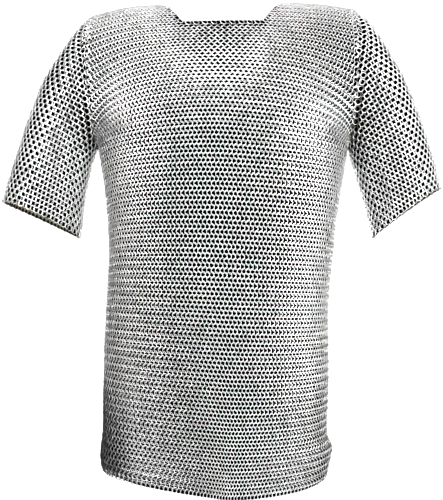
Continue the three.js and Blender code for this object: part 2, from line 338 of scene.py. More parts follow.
def top_row(face, column):
    """How far up a column reaches, which is less in the neck opening."""
    line = NECKLINES[face]
    share = (abs(column - NECK_SHIFT) - line["corner"]) / (NECK_SIDE - line["corner"])
    return 1 + lerp(line["height"], 1, min(max(share, 0), 1))


def sleeve_point(side, around, along):
    """Around is 0 at the outer line and a quarter in front, along 0 at the armhole."""
    table = SLEEVES[side]
    sign = -1 if side == "right" else 1

    def value(column):
        return reading(table, "along", along, column)

    turn = around * 2 * math.pi
    share = (1 + math.cos(turn)) / 2
    bow = ARMHOLE_BOW * math.sin(turn) ** 2 * (1 - along)
    lift = lerp(SHOULDER_Y * share, 0, along)
    point = Vector(
        (
            sign * (lerp(value("inner_out"), value("outer_out"), share) + bow),
            lift - value("depth") * math.sin(turn),
            lerp(value("inner_height"), value("outer_height"), share),
        )
    )
    centre = Vector(
        (
            sign * (value("inner_out") + value("outer_out")) / 2,
            0,
            (value("inner_height") + value("outer_height")) / 2,
        )
    )
    for fold in SLEEVE_FOLDS[side]:
        across = (around - fold["around"]) / fold["width"]
        down = (along - fold["along"]) / fold["length"]
        depth = fold["deep"] * math.exp(-(across**2) - down**2)
        point += (centre - point).normalized() * depth
    return point


def way_out(point_at, across, along, low, high, forward):
    """The way out of the cloth at a point, from the two ways along it."""
    across_way = point_at(min(across + NUDGE, high), along) - point_at(max(across - NUDGE, low), along)
    top = min(along + NUDGE, 2)
    bottom = max(along - NUDGE, 0)
    along_way = point_at(across, top) - point_at(across, bottom)
    return across_way.cross(along_way).normalized() * forward


# Places of the rings


def ring_turn(row_way, out, lean):
    """The turn of a ring that leans by an angle from the cloth, about the way across its row."""
    column_way = out.cross(row_way).normalized()
    row_way = column_way.cross(out).normalized()
    axis = out * math.cos(lean) + row_way * math.sin(lean)
    second = axis.cross(column_way).normalized()
    return Matrix((column_way, second, axis)).transposed().to_quaternion()


class Rings:
    """The places, turns and shades of one piece's rings; a ring's shade is a random tone lowered by painted
    shade.
    """

    def __init__(self, seed):
        self.random = np.random.default_rng(seed)
        self.centres = []
        self.turns = []
        self.outs = []
        self.shades = []
        self.sizes = []

    def add(self, settings, point, out, row_way, lean, size=1.0, painted_shade=0.0):
        sink = (math.sin(abs(lean)) * settings.ring_radius + settings.wire_thickness / 2) * size / MM
        draw = self.random.normal(size=4)
        lean += draw[0] * settings.lean_spread
        turn = ring_turn(row_way, out, lean)
        spin = Quaternion((0, 0, 1), self.random.uniform(0, 2 * math.pi))
        centre = point - out * (sink + draw[1] * settings.place_spread / MM)
        self.centres.append(centre * MM)
        self.turns.append(turn @ spin)
        self.outs.append(out)
        # painted shade lowers the ring's shade and damps its random unevenness
        unevenness = settings.shade_spread * draw[2] * (1 - min(painted_shade, 1) / 2)
        self.shades.append(min(max(SHADE["middle"] + unevenness - SHADE["per_painted_shade"] * painted_shade, -1), 1))
        self.sizes.append(size)


def crowded_size(settings, pitch, row_pitch):
    """How large the rings are drawn where they lie closer or wider than usual."""
    share = min(math.sqrt(pitch * row_pitch), ROW_ROOM * row_pitch) * MM / settings.usual_pitch
    return min(max(share, settings.least_size), settings.most_size)


def closed_lean(settings, pitch, size):
    """The lean at which each ring's inner side lies beside the next ring's outer side."""
    width = (pitch * MM + settings.wire_thickness * size) / 2
    lean = math.acos(min(width / (settings.ring_radius * size), 1))
    return min(max(lean, settings.least_lean), settings.most_lean)


def lower_places():
    """How far up each row of rings below the armpits stands."""
    places, height = [], HEM_HEIGHT
    while height < ARMPIT_ROW_HEIGHT:
        pitch = reading(ROW_PITCHES, "height", height, "pitch")
        places.append(height + pitch / 2 - HEM_HEIGHT)
        height += pitch
    return [place / (height - HEM_HEIGHT) for place in places]


LOWER_PLACES = lower_places()
LOWER_ROWS = len(LOWER_PLACES)


def row_place(index):
    """How far up the rings of a row stand."""
    if index < LOWER_ROWS:
        return LOWER_PLACES[index]
    climb = (index - LOWER_ROWS + 0.5) / (UPPER_ROWS + 0.5)
    return 1 + climb + UPPER_EASE * climb * (1 - climb)


def panel_painted_shade(column, row):
    """How much painted shade darkens the rings at a place on a panel."""
    side = SIDE_PAINTED_SHADE["most"] * eased(abs(column), SIDE_PAINTED_SHADE["from"], SIDE_PAINTED_SHADE["to"])
    side *= 1 + SIDE_PAINTED_SHADE["low_more"] * (1 - smoothstep(row / SIDE_PAINTED_SHADE["low"]))
    if column < 0:
        side *= SIDE_PAINTED_SHADE["right_more"]
    turned = TURNED_PAINTED_SHADE["most"] * eased(-column, TURNED_PAINTED_SHADE["from"], TURNED_PAINTED_SHADE["to"])
    below = max(side, turned) * eased(row, PAINTED_SHADE_TOP["from"], PAINTED_SHADE_TOP["to"])
    beside = 1 - eased(abs(column), NECK_PAINTED_SHADE["from"], NECK_PAINTED_SHADE["to"])
    neck = NECK_PAINTED_SHADE["most"] * beside * eased(row, NECK_PAINTED_SHADE["low"], NECK_PAINTED_SHADE["high"])
    crease = CREASE_PAINTED_SHADE["most"] * eased(abs(column), CREASE_PAINTED_SHADE["from"], CREASE_PAINTED_SHADE["to"])
    crease *= eased(row, *CREASE_PAINTED_SHADE["above"]) * eased(row, *CREASE_PAINTED_SHADE["below"])
    return max(below, neck, crease)


def panel_rings(settings, face, first, last, seed):
    """The rings of a front or back panel between two rows."""
    rings = Rings(seed)
    forward = 1 if face == "front" else -1

    def point_at(column, row):
        return body_point(face, column, row)

    for index in range(first, last):
        row = row_place(index)
        before = row_place(index - 1) if index else 0
        after = min(row_place(index + 1), 2)
        shared = index % 2 == 1
        flare = 1 + COLUMN_FLARE * smoothstep((row - 1) / FLARE_ENDS)
        shift = (0 if face == "front" else 1) if shared else 0.5
        line = [((k + shift) * 2 / PANEL_COLUMNS - 1) * flare for k in range(PANEL_COLUMNS)]
        if row > 1:
            line = [column for column in line if abs(column) < 1 - SEAM_COLUMNS]
            line = [SEAM_COLUMNS - 1, *line, 1 - SEAM_COLUMNS]
        for column in line:
            beside = "shoulder" if abs(column - NECK_SHIFT) > NECK_SIDE else face
            if row > top_row(face, column) + EDGE_MARGIN[beside]:
                continue
            out = way_out(point_at, column, row, -1, 1, forward)
            low, high = max(column - NUDGE, -1), min(column + NUDGE, 1)
            row_way = (point_at(high, row) - point_at(low, row)) / (high - low)
            pitch = row_way.length * 2 * flare / PANEL_COLUMNS
            step = (point_at(column, after) - point_at(column, before)).length / 2
            size = crowded_size(settings, pitch, step)
            lean = closed_lean(settings, pitch, size) * (-1 if shared else 1)
            painted_shade = panel_painted_shade(column, row)
            rings.add(settings, point_at(column, row), out, row_way * forward, lean, size, painted_shade)
    if face == "front" and last > LOWER_ROWS:
        for k in range(EDGE_RINGS["count"]):
            column = NECK_SHIFT + NECK_SIDE * ((k + 0.5) * 2 / EDGE_RINGS["count"] - 1)
            row = top_row(face, column) + EDGE_RINGS["rise"]
            out = way_out(point_at, column, row, -1, 1, forward)
            row_way = point_at(column + NUDGE, row) - point_at(column - NUDGE, row)
            lean, size = EDGE_RINGS["lean"], EDGE_RINGS["size"]
            rings.add(settings, point_at(column, row), out, row_way, lean, size)
    return rings


def sleeve_lines(side):
    """For each column round a sleeve, the distances from the cuff of places along it."""
    lines = []
    for i in range(SLEEVE_COLUMNS):
        around = i / SLEEVE_COLUMNS
        places = [1 - k / SLEEVE_STEPS for k in range(SLEEVE_STEPS + 1)]
        points = [sleeve_point(side, around, along) for along in places]
        steps = [(b - a).length for a, b in zip(points, points[1:])]
        lines.append((places, np.concatenate(([0], np.cumsum(steps)))))
    return lines


def sleeve_rings(settings, side, seed):
    """The rings of a sleeve, in rows from its cuff up to the armhole."""
    rings = Rings(seed)
    sign = -1 if side == "right" else 1

    def point_at(around, along):
        return sleeve_point(side, around, along)

    for i, (places, distances) in enumerate(sleeve_lines(side)):
        around = i / SLEEVE_COLUMNS
        total = distances[-1]
        start = CUFF_RISE * max(math.sin(around * 2 * math.pi), 0)
        count = int((total - start - SLEEVE_PITCH / 4) // SLEEVE_PITCH)
        marks = [start + (j + 0.5) * SLEEVE_PITCH for j in range(count)]
        if total - marks[-1] > CLOSING_GAP + SLEEVE_PITCH / 2:
            marks.append(total - CLOSING_GAP / 2)
        for j, mark in enumerate(marks):
            along = float(np.interp(mark, distances, places))
            low, high = max(along - NUDGE, 0), min(along + NUDGE, 1)
            around_way = point_at(around + NUDGE, along) - point_at(around - NUDGE, along)
            up_way = point_at(around, low) - point_at(around, high)
            out = up_way.cross(around_way).normalized() * sign
            row_way = around_way.normalized() + up_way.normalized()
            lean = settings.sleeve_lean * (1 if (i + j) % 2 else -1)
            # painted shade along the inner line, fading towards the cuff
            inner = 0.5 - abs(around - 0.5)
            painted_shade = SLEEVE_PAINTED_SHADE["most"] * eased(inner, SLEEVE_PAINTED_SHADE["from"], SLEEVE_PAINTED_SHADE["to"])
            painted_shade *= eased(along, SLEEVE_PAINTED_SHADE["ends"], 0)
            rings.add(settings, point_at(around, along), out, row_way, lean, SLEEVE_SIZE, painted_shade)
    return rings


# Ring meshes by Geometry Nodes


def socket(tree, name, kind, default=None):
    made = tree.interface.new_socket(name=name, in_out="INPUT", socket_type=kind)
    if default is not None:
        made.default_value = default


def fed(tree, kind, feeds, output=0, **settings):
    """A node with its settings, fed with numbers or other nodes' results, and its own result."""
    node = tree.nodes.new(kind)
    for name, value in settings.items():
        setattr(node, name, value)
    for name, value in feeds.items():
        if isinstance(value, bpy.types.NodeSocket):
            tree.links.new(value, node.inputs[name])
        else:
            node.inputs[name].default_value = value
    return node.outputs[output]


def maths(tree, operation, *values):
    return fed(tree, "ShaderNodeMath", dict(enumerate(values)), operation=operation)


def named(tree, name, kind):
    return fed(tree, "GeometryNodeInputNamedAttribute", {"Name": name}, data_type=kind)


def linked_rings_tree():
    """A tree that sets a round wire ring on each point, turned by the point's own rotation."""
    tree = bpy.data.node_groups.new("Linked rings", "GeometryNodeTree")
    tree.interface.new_socket(name="Places", in_out="INPUT", socket_type="NodeSocketGeometry")
    socket(tree, "Ring radius", "NodeSocketFloat", 0.0053)
    socket(tree, "Wire thickness", "NodeSocketFloat", 0.0016)
    socket(tree, "Ring facets", "NodeSocketInt", 7)
    socket(tree, "Wire facets", "NodeSocketInt", 3)
    socket(tree, "Size spread", "NodeSocketFloat", 0.02)
    socket(tree, "Seed", "NodeSocketInt", 7)
    socket(tree, "Wire finish", "NodeSocketMaterial")
    tree.interface.new_socket(name="Mail", in_out="OUTPUT", socket_type="NodeSocketGeometry")

    given = tree.nodes.new("NodeGroupInput").outputs
    result = tree.nodes.new("NodeGroupOutput")

    def circle(facets, radius):
        return fed(tree, "GeometryNodeCurvePrimitiveCircle", {"Resolution": facets, "Radius": radius})

    # a ring with few facets is drawn a little larger, so that on average it has its radius
    inner = maths(tree, "COSINE", maths(tree, "DIVIDE", math.pi, given["Ring facets"]))
    mean = maths(tree, "MULTIPLY", maths(tree, "ADD", inner, 1.0), 0.5)
    ring = circle(given["Ring facets"], maths(tree, "DIVIDE", given["Ring radius"], mean))

    # and so is its wire
    corner = maths(tree, "SINE", maths(tree, "DIVIDE", math.pi, given["Wire facets"]))
    width = maths(tree, "MULTIPLY", maths(tree, "MULTIPLY", given["Wire facets"], corner), 2 / math.pi)
    wire = circle(given["Wire facets"], maths(tree, "DIVIDE", given["Wire thickness"], width))

    drawn = fed(tree, "GeometryNodeCurveToMesh", {"Curve": ring, "Profile Curve": wire})
    spread = given["Size spread"]
    least, most = maths(tree, "SUBTRACT", 1.0, spread), maths(tree, "ADD", 1.0, spread)
    feeds = {2: least, 3: most, "Seed": given["Seed"]}
    size = fed(tree, "FunctionNodeRandomValue", feeds, output=1, data_type="FLOAT")
    scale = maths(tree, "MULTIPLY", size, named(tree, RING_SIZE, "FLOAT"))
    turns = named(tree, RING_ROTATION, "QUATERNION")
    feeds = {"Points": given["Places"], "Instance": drawn, "Rotation": turns, "Scale": scale}
    placed = fed(tree, "GeometryNodeInstanceOnPoints", feeds)
    real = fed(tree, "GeometryNodeRealizeInstances", {"Geometry": placed})

    # how far each part of a ring rises out of the cloth, from -1 to 1
    here = fed(tree, "GeometryNodeInputPosition", {})
    feeds = {0: here, 1: named(tree, RING_CENTRE, "FLOAT_VECTOR")}
    away = fed(tree, "ShaderNodeVectorMath", feeds, operation="SUBTRACT")
    feeds = {0: away, 1: named(tree, RING_OUT, "FLOAT_VECTOR")}
    rise = fed(tree, "ShaderNodeVectorMath", feeds, output=1, operation="DOT_PRODUCT")
    share = maths(tree, "DIVIDE", rise, given["Ring radius"])
    feeds = {"Geometry": real, "Name": RING_RISE, "Value": share}
    last = fed(tree, "GeometryNodeStoreNamedAttribute", feeds, data_type="FLOAT", domain="POINT")
    for name in (RING_CENTRE, RING_OUT, RING_ROTATION, RING_SIZE):
        last = fed(tree, "GeometryNodeRemoveAttribute", {"Geometry": last, "Name": name})
    smooth = fed(tree, "GeometryNodeSetShadeSmooth", {0: last})
    finished = fed(tree, "GeometryNodeSetMaterial", {"Geometry": smooth, "Material": given["Wire finish"]})
    tree.links.new(finished, result.inputs["Mail"])
    return tree


def set_input(modifier, tree, name, value):
    for item in tree.interface.items_tree:
        if item.item_type == "SOCKET" and item.in_out == "INPUT" and item.name == name:
            modifier[item.identifier] = value
            return
    raise ValueError(f"the tree has no input named {name}")


def linked(settings, name, rings, material):
    """Turns a piece's ring places into one plain mesh of rings."""
    tree = bpy.data.node_groups.get("Linked rings") or linked_rings_tree()
    places = bpy.data.meshes.new(name + "_places")
    places.from_pydata([tuple(centre) for centre in rings.centres], [], [])
    rotation = places.attributes.new(RING_ROTATION, "QUATERNION", "POINT")
    rotation.data.foreach_set("value", np.array([tuple(turn) for turn in rings.turns], np.float32).ravel())
    for title, vectors in ((RING_CENTRE, rings.centres), (RING_OUT, rings.outs)):
        layer = places.attributes.new(title, "FLOAT_VECTOR", "POINT")
        layer.data.foreach_set("vector", np.array([tuple(way) for way in vectors], np.float32).ravel())
    for title, numbers in ((RING_SHADE, rings.shades), (RING_SIZE, rings.sizes)):
        layer = places.attributes.new(title, "FLOAT", "POINT")
        layer.data.foreach_set("value", np.array(numbers, np.float32))
    piece = bpy.data.objects.new(name, places)
    bpy.context.collection.objects.link(piece)
    modifier = piece.modifiers.new("Rings", "NODES")
    modifier.node_group = tree
    for title in ("Ring radius", "Wire thickness", "Ring facets", "Wire facets", "Size spread", "Seed"):
        set_input(modifier, tree, title, getattr(settings, title.lower().replace(" ", "_")))
    set_input(modifier, tree, "Wire finish", material)
    made = bpy.data.meshes.new_from_object(piece.evaluated_get(bpy.context.evaluated_depsgraph_get()))
    piece.modifiers.remove(modifier)
    piece.data = made
    made.name = name
    bpy.data.meshes.remove(places)
    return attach(piece, "root")


# The dark ground behind the rings: a sheet painted as the shadow seen through the weave


def ground_mesh(settings, name, points, outs, weave, wrapped, materials):
    """A thin closed sheet under the rings, with painted shadow outside and the painted inner weave inside.
    Points and outs are rows of vectors, in millimetres.
    """
    rows, columns = len(points), len(points[0])
    vertices = []
    for sink in (settings.ground_depth, settings.ground_depth + settings.ground_thickness):
        for line, ways in zip(points, outs):
            vertices += [tuple((point - way * (sink / MM)) * MM) for point, way in zip(line, ways)]
    inside = rows * columns
    faces, slots, uvs = [], [], []

    def at(j, i):
        return j * columns + i % columns

    def face(corners, places, material):
        faces.append(corners)
        slots.append(material)
        uvs.extend(weave(*place) for place in places)

    spans = columns if wrapped else columns - 1
    for i in range(spans):
        for j in range(rows - 1):
            ring = [(j, i), (j, i + 1), (j + 1, i + 1), (j + 1, i)]
            face([at(*place) for place in ring], ring, 0)
            back = [ring[0], ring[3], ring[2], ring[1]]
            face([inside + at(*place) for place in back], back, 1)
        for a, b in (((0, i + 1), (0, i)), ((rows - 1, i), (rows - 1, i + 1))):
            face([at(*a), at(*b), inside + at(*b), inside + at(*a)], [a, b, b, a], 0)
    if not wrapped:
        for j in range(rows - 1):
            end = columns - 1
            for a, b in (((j, 0), (j + 1, 0)), ((j + 1, end), (j, end))):
                face([at(*a), at(*b), inside + at(*b), inside + at(*a)], [a, b, b, a], 0)
    mesh = bpy.data.meshes.new(name)
    mesh.from_pydata(vertices, [], faces)
    for material in materials:
        mesh.materials.append(material)
    mesh.polygons.foreach_set("material_index", slots)
    mesh.polygons.foreach_set("use_smooth", [True] * len(faces))
    layer = mesh.uv_layers.new(name=WEAVE_UV)
    layer.data.foreach_set("uv", np.array(uvs, np.float32).ravel())
    mesh.update()
    piece = bpy.data.objects.new(name, mesh)
    bpy.context.collection.objects.link(piece)
    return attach(piece, "root")


# How far the ground reaches past the neckline, as a share of the way up from the armpits.
NECK_REACH = 0.014

# How much nearer to the cloth's face the ground lies at the shoulders, and from which row to which.
GROUND_LIFT = {"most": 0.22, "from": 1.2, "to": 1.7}
GROUND_STEPS = {"columns": 56, "lower": 44, "upper": 26, "around": 52, "along": 30}

# How many rows of rings the pattern inside a sleeve shows.
SLEEVE_INSIDE_ROWS = 28


def panel_ground(settings, face, materials):
    forward = 1 if face == "front" else -1
    half = GROUND_STEPS["columns"] // 2
    columns = sorted(
        {k / half for k in range(-half, half + 1)}
        | {NECK_SHIFT + s * edge for s in (-1, 1) for edge in (NECKLINES[face]["corner"], NECK_SIDE)}
    )
    if face == "back":
        columns.reverse()

    def point_at(column, row):
        return body_point(face, column, row)

    marks = [k / GROUND_STEPS["lower"] for k in range(GROUND_STEPS["lower"])]
    marks += [1 + k / GROUND_STEPS["upper"] for k in range(GROUND_STEPS["upper"] + 1)]
    marks[0] = -settings.edge_reach / MM / (ARMPIT_ROW_HEIGHT - HEM_HEIGHT)
    points, outs = [], []
    for mark in marks:
        line, ways = [], []
        for column in columns:
            top = min(top_row(face, column) + NECK_REACH, 2)
            row = mark if mark <= 1 else 1 + (mark - 1) * (top - 1)
            line.append(point_at(column, row))
            lift = GROUND_LIFT["most"] * eased(row, GROUND_LIFT["from"], GROUND_LIFT["to"])
            ways.append(way_out(point_at, column, row, -1, 1, forward) * (1 - lift))
        points.append(line)
        outs.append(ways)

    def weave(j, i):
        mark, column = marks[j], columns[i]
        if mark <= 1:
            rows = mark * LOWER_ROWS
        else:
            rows = LOWER_ROWS + (mark - 1) * (top_row(face, column) - 1) * UPPER_ROWS
        return (column + 1) / 2 * PANEL_COLUMNS, rows

    return ground_mesh(settings, face + "_ground", points, outs, weave, False, materials)


def sleeve_ground(settings, side, materials):
    sign = -1 if side == "right" else 1
    around_steps, along_steps = GROUND_STEPS["around"], GROUND_STEPS["along"]

    def point_at(around, along):
        return sleeve_point(side, around, along)

    points, outs = [], []
    for k in range(along_steps + 1):
        line, ways = [], []
        for i in range(around_steps):
            around = (around_steps - i if sign < 0 else i) / around_steps
            along = k / along_steps * (1 - CUFF_SHORT * max(math.sin(around * 2 * math.pi), 0))
            low, high = max(along - NUDGE, 0), min(along + NUDGE, 1)
            around_way = point_at(around + NUDGE, along) - point_at(around - NUDGE, along)
            up_way = point_at(around, low) - point_at(around, high)
            line.append(point_at(around, along))
            ways.append(up_way.cross(around_way).normalized() * sign)
        points.append(line)
        outs.append(ways)

    def weave(j, i):
        return i / around_steps * SLEEVE_COLUMNS, j / along_steps * SLEEVE_INSIDE_ROWS

    return ground_mesh(settings, f"sleeve_{side}_ground", points, outs, weave, True, materials)


# Finishes


# The steel's patches of wear, its bump, and the painted shade that turns a ring's deep parts dark.
BLOOM = {"patch_scale": 18.0, "grain_scale": 900.0, "low": 0.35, "high": 0.7}
STEEL = {"metallic": 0.85, "patch_share": 0.15, "smoother": 0.07, "rougher": 0.12}
STEEL_BUMP = {"strength": 0.25, "distance": 0.0002}
DEEP_PAINTED_SHADE = {"low": -0.12, "high": 0.28, "per_shade": 0.7}

# The inner face's pattern: rings drawn as bands round staggered centres, in columns and rows.
INSIDE_WEAVE = {"across": 1.15, "radius": 0.62, "wire_ends": 0.2, "wire_full": 0.04}
INSIDE_ROUGHNESS = {"gap": 0.85, "less_on_wire": 0.4}
INSIDE_BUMP = {"strength": 0.9, "distance": 0.0015}
# painted glow: the inner face emits its own painted colour
INSIDE_PAINTED_GLOW = 0.3
GAP_ROUGHNESS = (0.75, 0.95)


def ranged(tree, value, source=(0, 1), target=(0, 1), kind="LINEAR"):
    """Carries one range of values over to another."""
    names = ("Value", "From Min", "From Max", "To Min", "To Max")
    feeds = dict(zip(names, (value, *source, *target)))
    return fed(tree, "ShaderNodeMapRange", feeds, interpolation_type=kind)


def bumped(tree, height, settings, shader):
    feeds = {"Height": height, "Strength": settings["strength"], "Distance": settings["distance"]}
    tree.links.new(fed(tree, "ShaderNodeBump", feeds), shader.inputs["Normal"])


def bloom_group():
    """Cloudy wear of a bright plated wire: a mask of duller patches, and a fine grain."""
    tree = bpy.data.node_groups.new("Plating bloom", "ShaderNodeTree")
    socket(tree, "Vector", "NodeSocketVector")
    socket(tree, "Patch scale", "NodeSocketFloat", BLOOM["patch_scale"])
    socket(tree, "Grain scale", "NodeSocketFloat", BLOOM["grain_scale"])
    for name in ("Patches", "Grain"):
        tree.interface.new_socket(name=name, in_out="OUTPUT", socket_type="NodeSocketFloat")
    given = tree.nodes.new("NodeGroupInput").outputs
    result = tree.nodes.new("NodeGroupOutput")

    def noise(scale, detail, roughness):
        feeds = {"Vector": given["Vector"], "Scale": given[scale], "Detail": detail, "Roughness": roughness}
        return fed(tree, "ShaderNodeTexNoise", feeds)

    patches = ranged(tree, noise("Patch scale", 4.0, 0.6), (BLOOM["low"], BLOOM["high"]))
    tree.links.new(patches, result.inputs["Patches"])
    tree.links.new(noise("Grain scale", 2.0, 0.55), result.inputs["Grain"])
    return tree


def bloomed(tree):
    """The bloom's outputs in a material's tree, placed by the object's own coordinates."""
    place = tree.nodes.new("ShaderNodeTexCoord")
    bloom = tree.nodes.new("ShaderNodeGroup")
    bloom.node_tree = bpy.data.node_groups.get("Plating bloom") or bloom_group()
    tree.links.new(place.outputs["Object"], bloom.inputs["Vector"])
    return bloom.outputs


def material_with_shader(name):
    material = bpy.data.materials.new(name)
    material.use_nodes = True
    tree = material.node_tree
    return material, tree, tree.nodes["Principled BSDF"]


def mixed(tree, factor, first, second):
    """A blend of two colours, each given as numbers or as another node's result."""

    def whole(value):
        return value if isinstance(value, bpy.types.NodeSocket) else (*value, 1)

    feeds = {0: factor, 6: whole(first), 7: whole(second)}
    return fed(tree, "ShaderNodeMix", feeds, output=2, data_type="RGBA")


def attribute(tree, name):
    return fed(tree, "ShaderNodeAttribute", {}, output="Fac", attribute_name=name)


def steel_material(finishes):
    """Bright plated wire with a random tone on each ring lowered by painted shade, and painted shade deep
    in the weave.
    """
    material, tree, shader = material_with_shader("mail_steel")
    link = tree.links.new
    bloom = bloomed(tree)
    shade = attribute(tree, RING_SHADE)
    # each ring's random tone, lowered by painted shade
    ring_tone_and_shade = mixed(tree, shade, finishes.steel_dull_and_shaded, finishes.steel_bright)
    patches = maths(tree, "MULTIPLY", bloom["Patches"], STEEL["patch_share"])
    patched = mixed(tree, patches, ring_tone_and_shade, finishes.steel_warm)
    # painted shade: parts of a ring deep in the weave, and more of each shaded ring, take the deep colour
    risen = maths(tree, "MULTIPLY_ADD", shade, DEEP_PAINTED_SHADE["per_shade"], attribute(tree, RING_RISE))
    depth = ranged(tree, risen, (DEEP_PAINTED_SHADE["low"], DEEP_PAINTED_SHADE["high"]), kind="SMOOTHSTEP")
    link(mixed(tree, depth, finishes.steel_deep_shade, patched), shader.inputs["Base Color"])
    roughness = finishes.steel_roughness
    rough = (roughness - STEEL["smoother"], roughness + STEEL["rougher"])
    link(ranged(tree, bloom["Grain"], target=rough), shader.inputs["Roughness"])
    bumped(tree, bloom["Grain"], STEEL_BUMP, shader)
    shader.inputs["Metallic"].default_value = STEEL["metallic"]
    return material


def shadow_material(finishes):
    """The dark seen between the rings."""
    material, tree, shader = material_with_shader("mail_shadow")
    bloom = bloomed(tree)
    gaps = mixed(tree, bloom["Patches"], finishes.shadow_colour, finishes.shadow_lift)
    tree.links.new(gaps, shader.inputs["Base Color"])
    tree.links.new(ranged(tree, bloom["Grain"], target=GAP_ROUGHNESS), shader.inputs["Roughness"])
    shader.inputs["Specular IOR Level"].default_value = 0.0
    return material


def inside_material(finishes):
    """The weave as it shows from inside: wire arcs in staggered rows over dark gaps, darkened as painted
    shade and given a painted glow.
    """
    material, tree, shader = material_with_shader("mail_inside")
    link = tree.links.new
    weave = fed(tree, "ShaderNodeUVMap", {}, uv_map=WEAVE_UV)
    parts = tree.nodes.new("ShaderNodeSeparateXYZ")
    link(weave, parts.inputs[0])

    def from_centre(value):
        return maths(tree, "SUBTRACT", maths(tree, "FRACT", value), 0.5)

    def ring_mask(shift):
        # distance from the nearest ring centre of every other row, in columns and rows
        across = from_centre(maths(tree, "ADD", parts.outputs[0], shift))
        across = maths(tree, "MULTIPLY", across, INSIDE_WEAVE["across"])
        down = from_centre(maths(tree, "ADD", maths(tree, "MULTIPLY", parts.outputs[1], 0.5), shift))
        down = maths(tree, "MULTIPLY", down, 2.0)
        squares = maths(tree, "ADD", maths(tree, "POWER", across, 2.0), maths(tree, "POWER", down, 2.0))
        off = maths(tree, "SUBTRACT", maths(tree, "SQRT", squares), INSIDE_WEAVE["radius"])
        wire = (INSIDE_WEAVE["wire_ends"], INSIDE_WEAVE["wire_full"])
        return ranged(tree, maths(tree, "ABSOLUTE", off), wire, kind="SMOOTHSTEP")

    rings = maths(tree, "MAXIMUM", ring_mask(0.0), ring_mask(0.5))
    painted = mixed(tree, rings, finishes.shadow_colour, finishes.inside_shaded_steel)
    link(painted, shader.inputs["Base Color"])
    # painted glow of the shaded inside colour
    link(painted, shader.inputs["Emission Color"])
    shader.inputs["Emission Strength"].default_value = INSIDE_PAINTED_GLOW
    less = maths(tree, "MULTIPLY", rings, INSIDE_ROUGHNESS["less_on_wire"])
    link(maths(tree, "SUBTRACT", INSIDE_ROUGHNESS["gap"], less), shader.inputs["Roughness"])
    bumped(tree, rings, INSIDE_BUMP, shader)
    return material


def studio_white():
    """A pale floor that looks as bright as the backdrop behind it."""
    material, tree, shader = material_with_shader("studio_floor")
    shader.inputs["Base Color"].default_value = (0.8, 0.8, 0.8, 1)
    shader.inputs["Roughness"].default_value = 0.8
    shader.inputs["Emission Color"].default_value = (1, 1, 1, 1)
    seen = tree.nodes.new("ShaderNodeLightPath")
    tree.links.new(seen.outputs["Is Camera Ray"], shader.inputs["Emission Strength"])
    return material


def finish_named(name):
    """The material of that name, made the first time that it is asked for."""
    makers = {"mail_steel": steel_material, "mail_shadow": shadow_material, "mail_inside": inside_material}
    return bpy.data.materials.get(name) or makers[name](bpy.context.scene.hauberk_finishes)


# What a user may change


def length(name, description, default):
    return FloatProperty(name=name, description=description, default=default, unit="LENGTH", precision=5)


def angle(name, description, degrees):
    return FloatProperty(name=name, description=description, default=math.radians(degrees), subtype="ANGLE")


def count(name, description, default):
    return IntProperty(name=name, description=description, default=default, min=3)


def number(name, description, default):
    return FloatProperty(name=name, description=description, default=default)


def colour(name, description, default):
    return FloatVectorProperty(name=name, description=description, subtype="COLOR", default=default)


class HauberkMail(bpy.types.PropertyGroup):
    ring_radius: length("Ring radius", "From a ring's centre to the middle of its wire", 0.0051)
    wire_thickness: length("Wire thickness", "How thick the wire is", 0.0014)
    ring_facets: count("Ring facets", "Sides of each ring", 7)
    wire_facets: count("Wire facets", "Sides of the wire's section", 3)
    usual_pitch: length("Usual pitch", "Spacing at which the rings are drawn at their own size", 0.0072)
    least_size: number("Least size", "Of the most crowded rings", 0.8)
    most_size: number("Most size", "Of the most spread rings", 1.04)
    least_lean: angle("Least lean", "How far the most spread rings lean", 14)
    most_lean: angle("Most lean", "How far the most crowded rings lean", 50)
    sleeve_lean: angle("Sleeve lean", "How far the sleeves' rings lean", 25)
    lean_spread: angle("Lean spread", "How unevenly the rings lean", 3)
    place_spread: length("Place spread", "How unevenly deep the rings lie", 0.0002)
    size_spread: number("Size spread", "How uneven the rings' sizes are", 0.02)
    shade_spread: number("Shade spread", "How unevenly bright the rings are", 0.11)
    seed: count("Seed", "Picks the unevenness", 7)
    ground_depth: length("Ground depth", "How far the dark ground lies under the rings", 0.0049)
    ground_thickness: length("Ground thickness", "How thick the dark ground is", 0.0006)
    edge_reach: length("Edge reach", "How far the ground goes below the hem line", 0.0015)


class HauberkFinishes(bpy.types.PropertyGroup):
    steel_bright: colour("Bright steel", "The cleanest rings", (1.0, 1.0, 1.0))
    # the colour at shade 0, for dull rings and for rings in painted shade
    steel_dull_and_shaded: colour("Dull and shaded steel", "The dullest rings", (0.55, 0.55, 0.55))
    steel_warm: colour("Warm bloom", "Patches of duller plating", (0.7, 0.68, 0.65))
    # painted shade on the parts of rings that lie deep in the weave
    steel_deep_shade: colour("Painted deep shade", "The parts of rings that lie deep in the weave", (0.12, 0.12, 0.118))
    steel_roughness: number("Steel roughness", "How matt the wire is", 0.3)
    shadow_colour: colour("Gaps", "The dark between the rings", (0.0008, 0.0008, 0.0008))
    shadow_lift: colour("Lit gaps", "The lighter patches between rings", (0.003, 0.003, 0.0028))
    # the wire's colour from inside, darkened as painted shade
    inside_shaded_steel: colour("Shaded inside wire", "The wire seen from inside", (0.2, 0.18, 0.125))


class HauberkStage(bpy.types.PropertyGroup):
    distance: length("Camera distance", "From the camera to the shoulders' plane", 1.6)
    eye_drop: length("Eye drop", "How far below the shoulders the camera stands", 0.474)
    tilt: angle("Tilt", "How far the camera looks up", 2.86)
    floor_drop: length("Floor drop", "How far below the shoulders the floor lies", 1.42)
    light: number("Light", "Power of the main light in watts", 155)
    sky: number("Surround", "Light of the studio round the shirt", 0.09)
    backdrop: number("Backdrop", "How bright the backdrop looks", 1.0)


